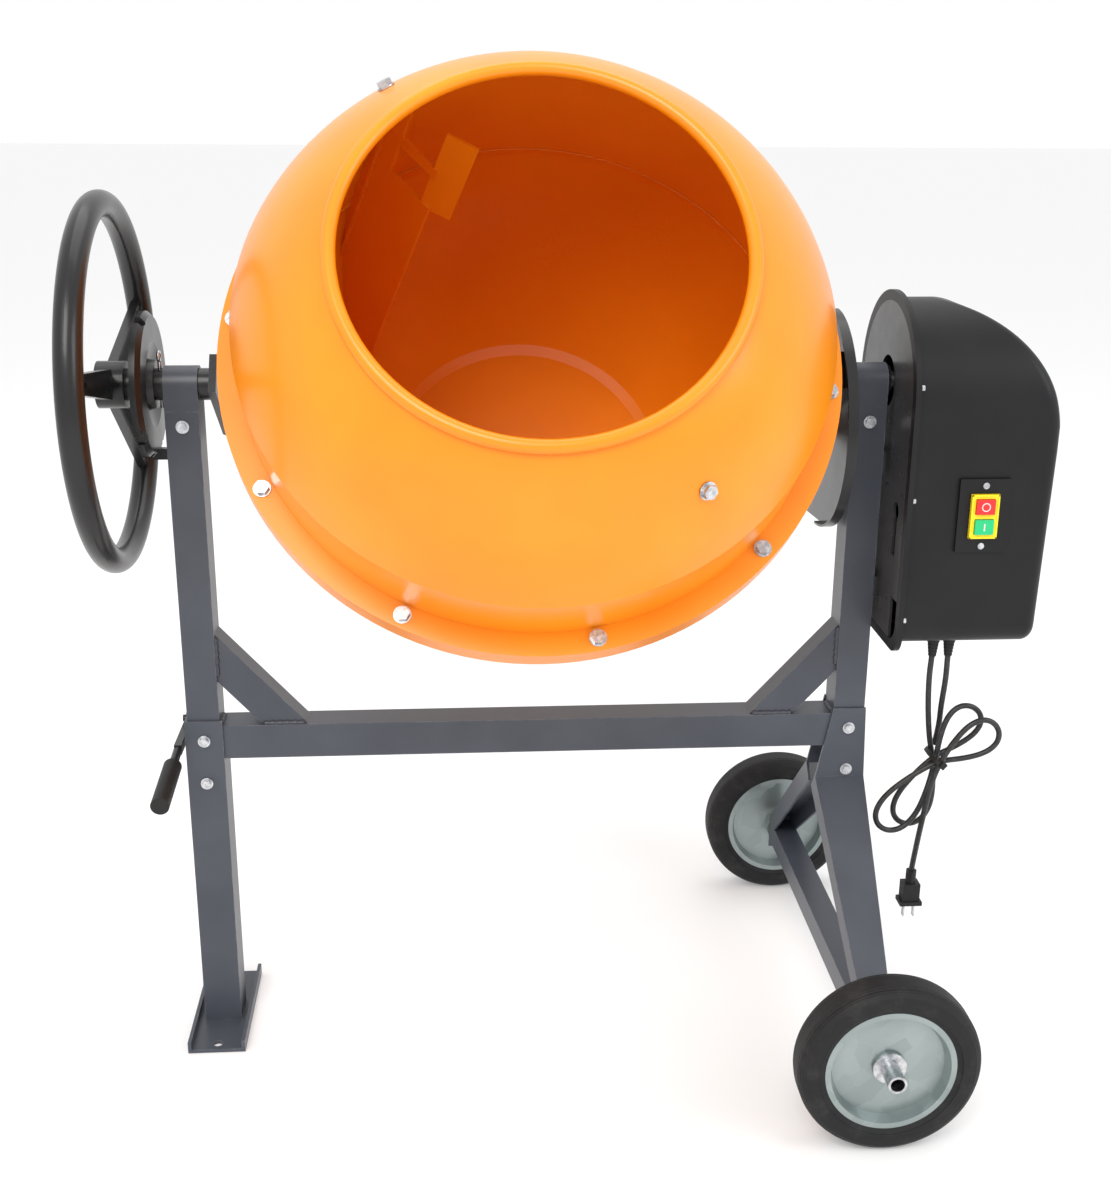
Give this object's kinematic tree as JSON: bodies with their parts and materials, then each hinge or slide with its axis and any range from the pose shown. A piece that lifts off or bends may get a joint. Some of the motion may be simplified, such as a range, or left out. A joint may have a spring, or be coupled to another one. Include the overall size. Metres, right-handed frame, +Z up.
{
  "type": "concrete mixer",
  "caption": "Electric concrete mixer: tilting drum in a yoke with handwheel, belt and gear drive in a side housing, stand with foot plate and two wheels.",
  "frame": {"origin": "centre of the underside of the foot plate, on the ground", "axes": "+X along the tilt axle towards the motor housing, -Y the side that the drum's mouth faces, +Z up"},
  "size_m": [1.013, 0.6695, 1.1066],
  "materials": {
    "frame_paint": "satin slate grey enamel",
    "bright_zinc": "bright zinc plate",
    "tyre_rubber": "matte",
    "galvanised_disc": "galvanised",
    "black_enamel": "semi-gloss",
    "black_rubber": "satin",
    "orange_paint": "glossy enamel",
    "cast_iron": "oiled",
    "black_plastic": "satin",
    "grey_steel": "matte",
    "yellow_plastic": "gloss",
    "red_plastic": "gloss",
    "green_plastic": "gloss"
  },
  "bodies": {
    "stand": {"uprights": "frame_paint", "bearings": "frame_paint", "crossbar": "frame_paint", "braces": "frame_paint", "standing_leg": "frame_paint", "foot_plate": "frame_paint", "wheel_legs": "frame_paint", "axle_beam": "frame_paint", "axle": "bright_zinc", "axle_washers": "bright_zinc", "stand_bolts": "bright_zinc", "lock_guides": "frame_paint", "pedal_bracket": "frame_paint", "motor": "grey_steel", "motor_shelf": "grey_steel", "drive_belt": "black_rubber", "housing_cover": "black_plastic", "housing_back": "grey_steel", "housing_screws": "bright_zinc", "switch_plate": "black_plastic", "switch_bezel": "yellow_plastic", "cord_glands": "black_rubber", "cord_near_strand": "black_rubber", "cord_far_strand": "black_rubber", "cord_tail": "black_rubber", "cord_hank": "black_rubber", "plug": "black_rubber", "plug_prongs": "bright_zinc"},
    "front_wheel": {"front_tyre": "tyre_rubber", "front_wheel_disc": "galvanised_disc"},
    "rear_wheel": {"rear_tyre": "tyre_rubber", "rear_wheel_disc": "galvanised_disc"},
    "yoke": {"yoke_arms": "black_enamel", "yoke_struts": "black_enamel", "yoke_base": "black_enamel", "drum_spindle": "bright_zinc", "spindle_nuts": "bright_zinc", "trunnions": "black_enamel", "handwheel_rim": "black_enamel", "handwheel_spokes": "black_enamel", "lock_disc": "black_enamel", "split_pin": "bright_zinc", "gear_guard": "black_enamel"},
    "drum": {"drum_tub": "orange_paint", "drum_cone": "orange_paint", "blade_1": "orange_paint", "blade_2": "orange_paint", "drum_hub": "black_enamel", "drum_bolts": "bright_zinc", "ring_gear": "cast_iron"},
    "drive_shaft": {"pinion": "cast_iron", "pinion_shaft": "bright_zinc", "drive_pulley": "cast_iron"},
    "motor_rotor_body": {"motor_rotor": "cast_iron"},
    "pedal": {"pedal_lever": "black_enamel", "pedal_grip": "black_rubber"},
    "tilt_lock": {"lock_rod": "black_enamel"},
    "stop": {"stop_button": "red_plastic"},
    "start": {"start_button": "green_plastic"}
  },
  "joints": [
    {"name": "front_wheel_roll", "type": "hinge", "parent": "stand", "child": "front_wheel", "pos_m": [0.732, -0.285, 0.098], "axis": [0, 1, 0], "continuous": true},
    {"name": "rear_wheel_roll", "type": "hinge", "parent": "stand", "child": "rear_wheel", "pos_m": [0.732, 0.285, 0.098], "axis": [0, 1, 0], "continuous": true},
    {"name": "drum_tilt", "type": "hinge", "parent": "stand", "child": "yoke", "pos_m": [0, 0, 0.77], "axis": [1, 0, 0], "range_deg": [-180, 72]},
    {"name": "drum_spin", "type": "hinge", "parent": "yoke", "child": "drum", "pos_m": [0.37, 0, 0.77], "axis": [0, -0.809, 0.5878], "continuous": true},
    {"name": "pinion_spin", "type": "hinge", "parent": "yoke", "child": "drive_shaft", "pos_m": [0.37, 0, 0.77], "axis": [1, 0, 0], "continuous": true},
    {"name": "motor_spin", "type": "hinge", "parent": "stand", "child": "motor_rotor_body", "pos_m": [0.798, 0, 0.56], "axis": [1, 0, 0], "continuous": true},
    {"name": "pedal_press", "type": "hinge", "parent": "stand", "child": "pedal", "pos_m": [-0.027, 0.058, 0.365], "axis": [1, 0, 0], "range_deg": [-15, 0]},
    {"name": "lock_lift", "type": "slide", "parent": "stand", "child": "tilt_lock", "axis": [0, 0, 1], "range_m": [0, 0.00785]},
    {"name": "stop_press", "type": "slide", "parent": "stand", "child": "stop", "axis": [0, 1, 0], "range_m": [0, 0.003], "stiffness_N_per_m": 400},
    {"name": "start_press", "type": "slide", "parent": "stand", "child": "start", "axis": [0, 1, 0], "range_m": [0, 0.003], "stiffness_N_per_m": 400}
  ],
  "couplings": [
    {"joint": "pinion_spin", "follows": "drum_spin", "ratio": -8},
    {"joint": "motor_spin", "follows": "drum_spin", "ratio": -53.333},
    {"joint": "lock_lift", "follows": "pedal_press", "m_per_rad": -0.03}
  ]
}
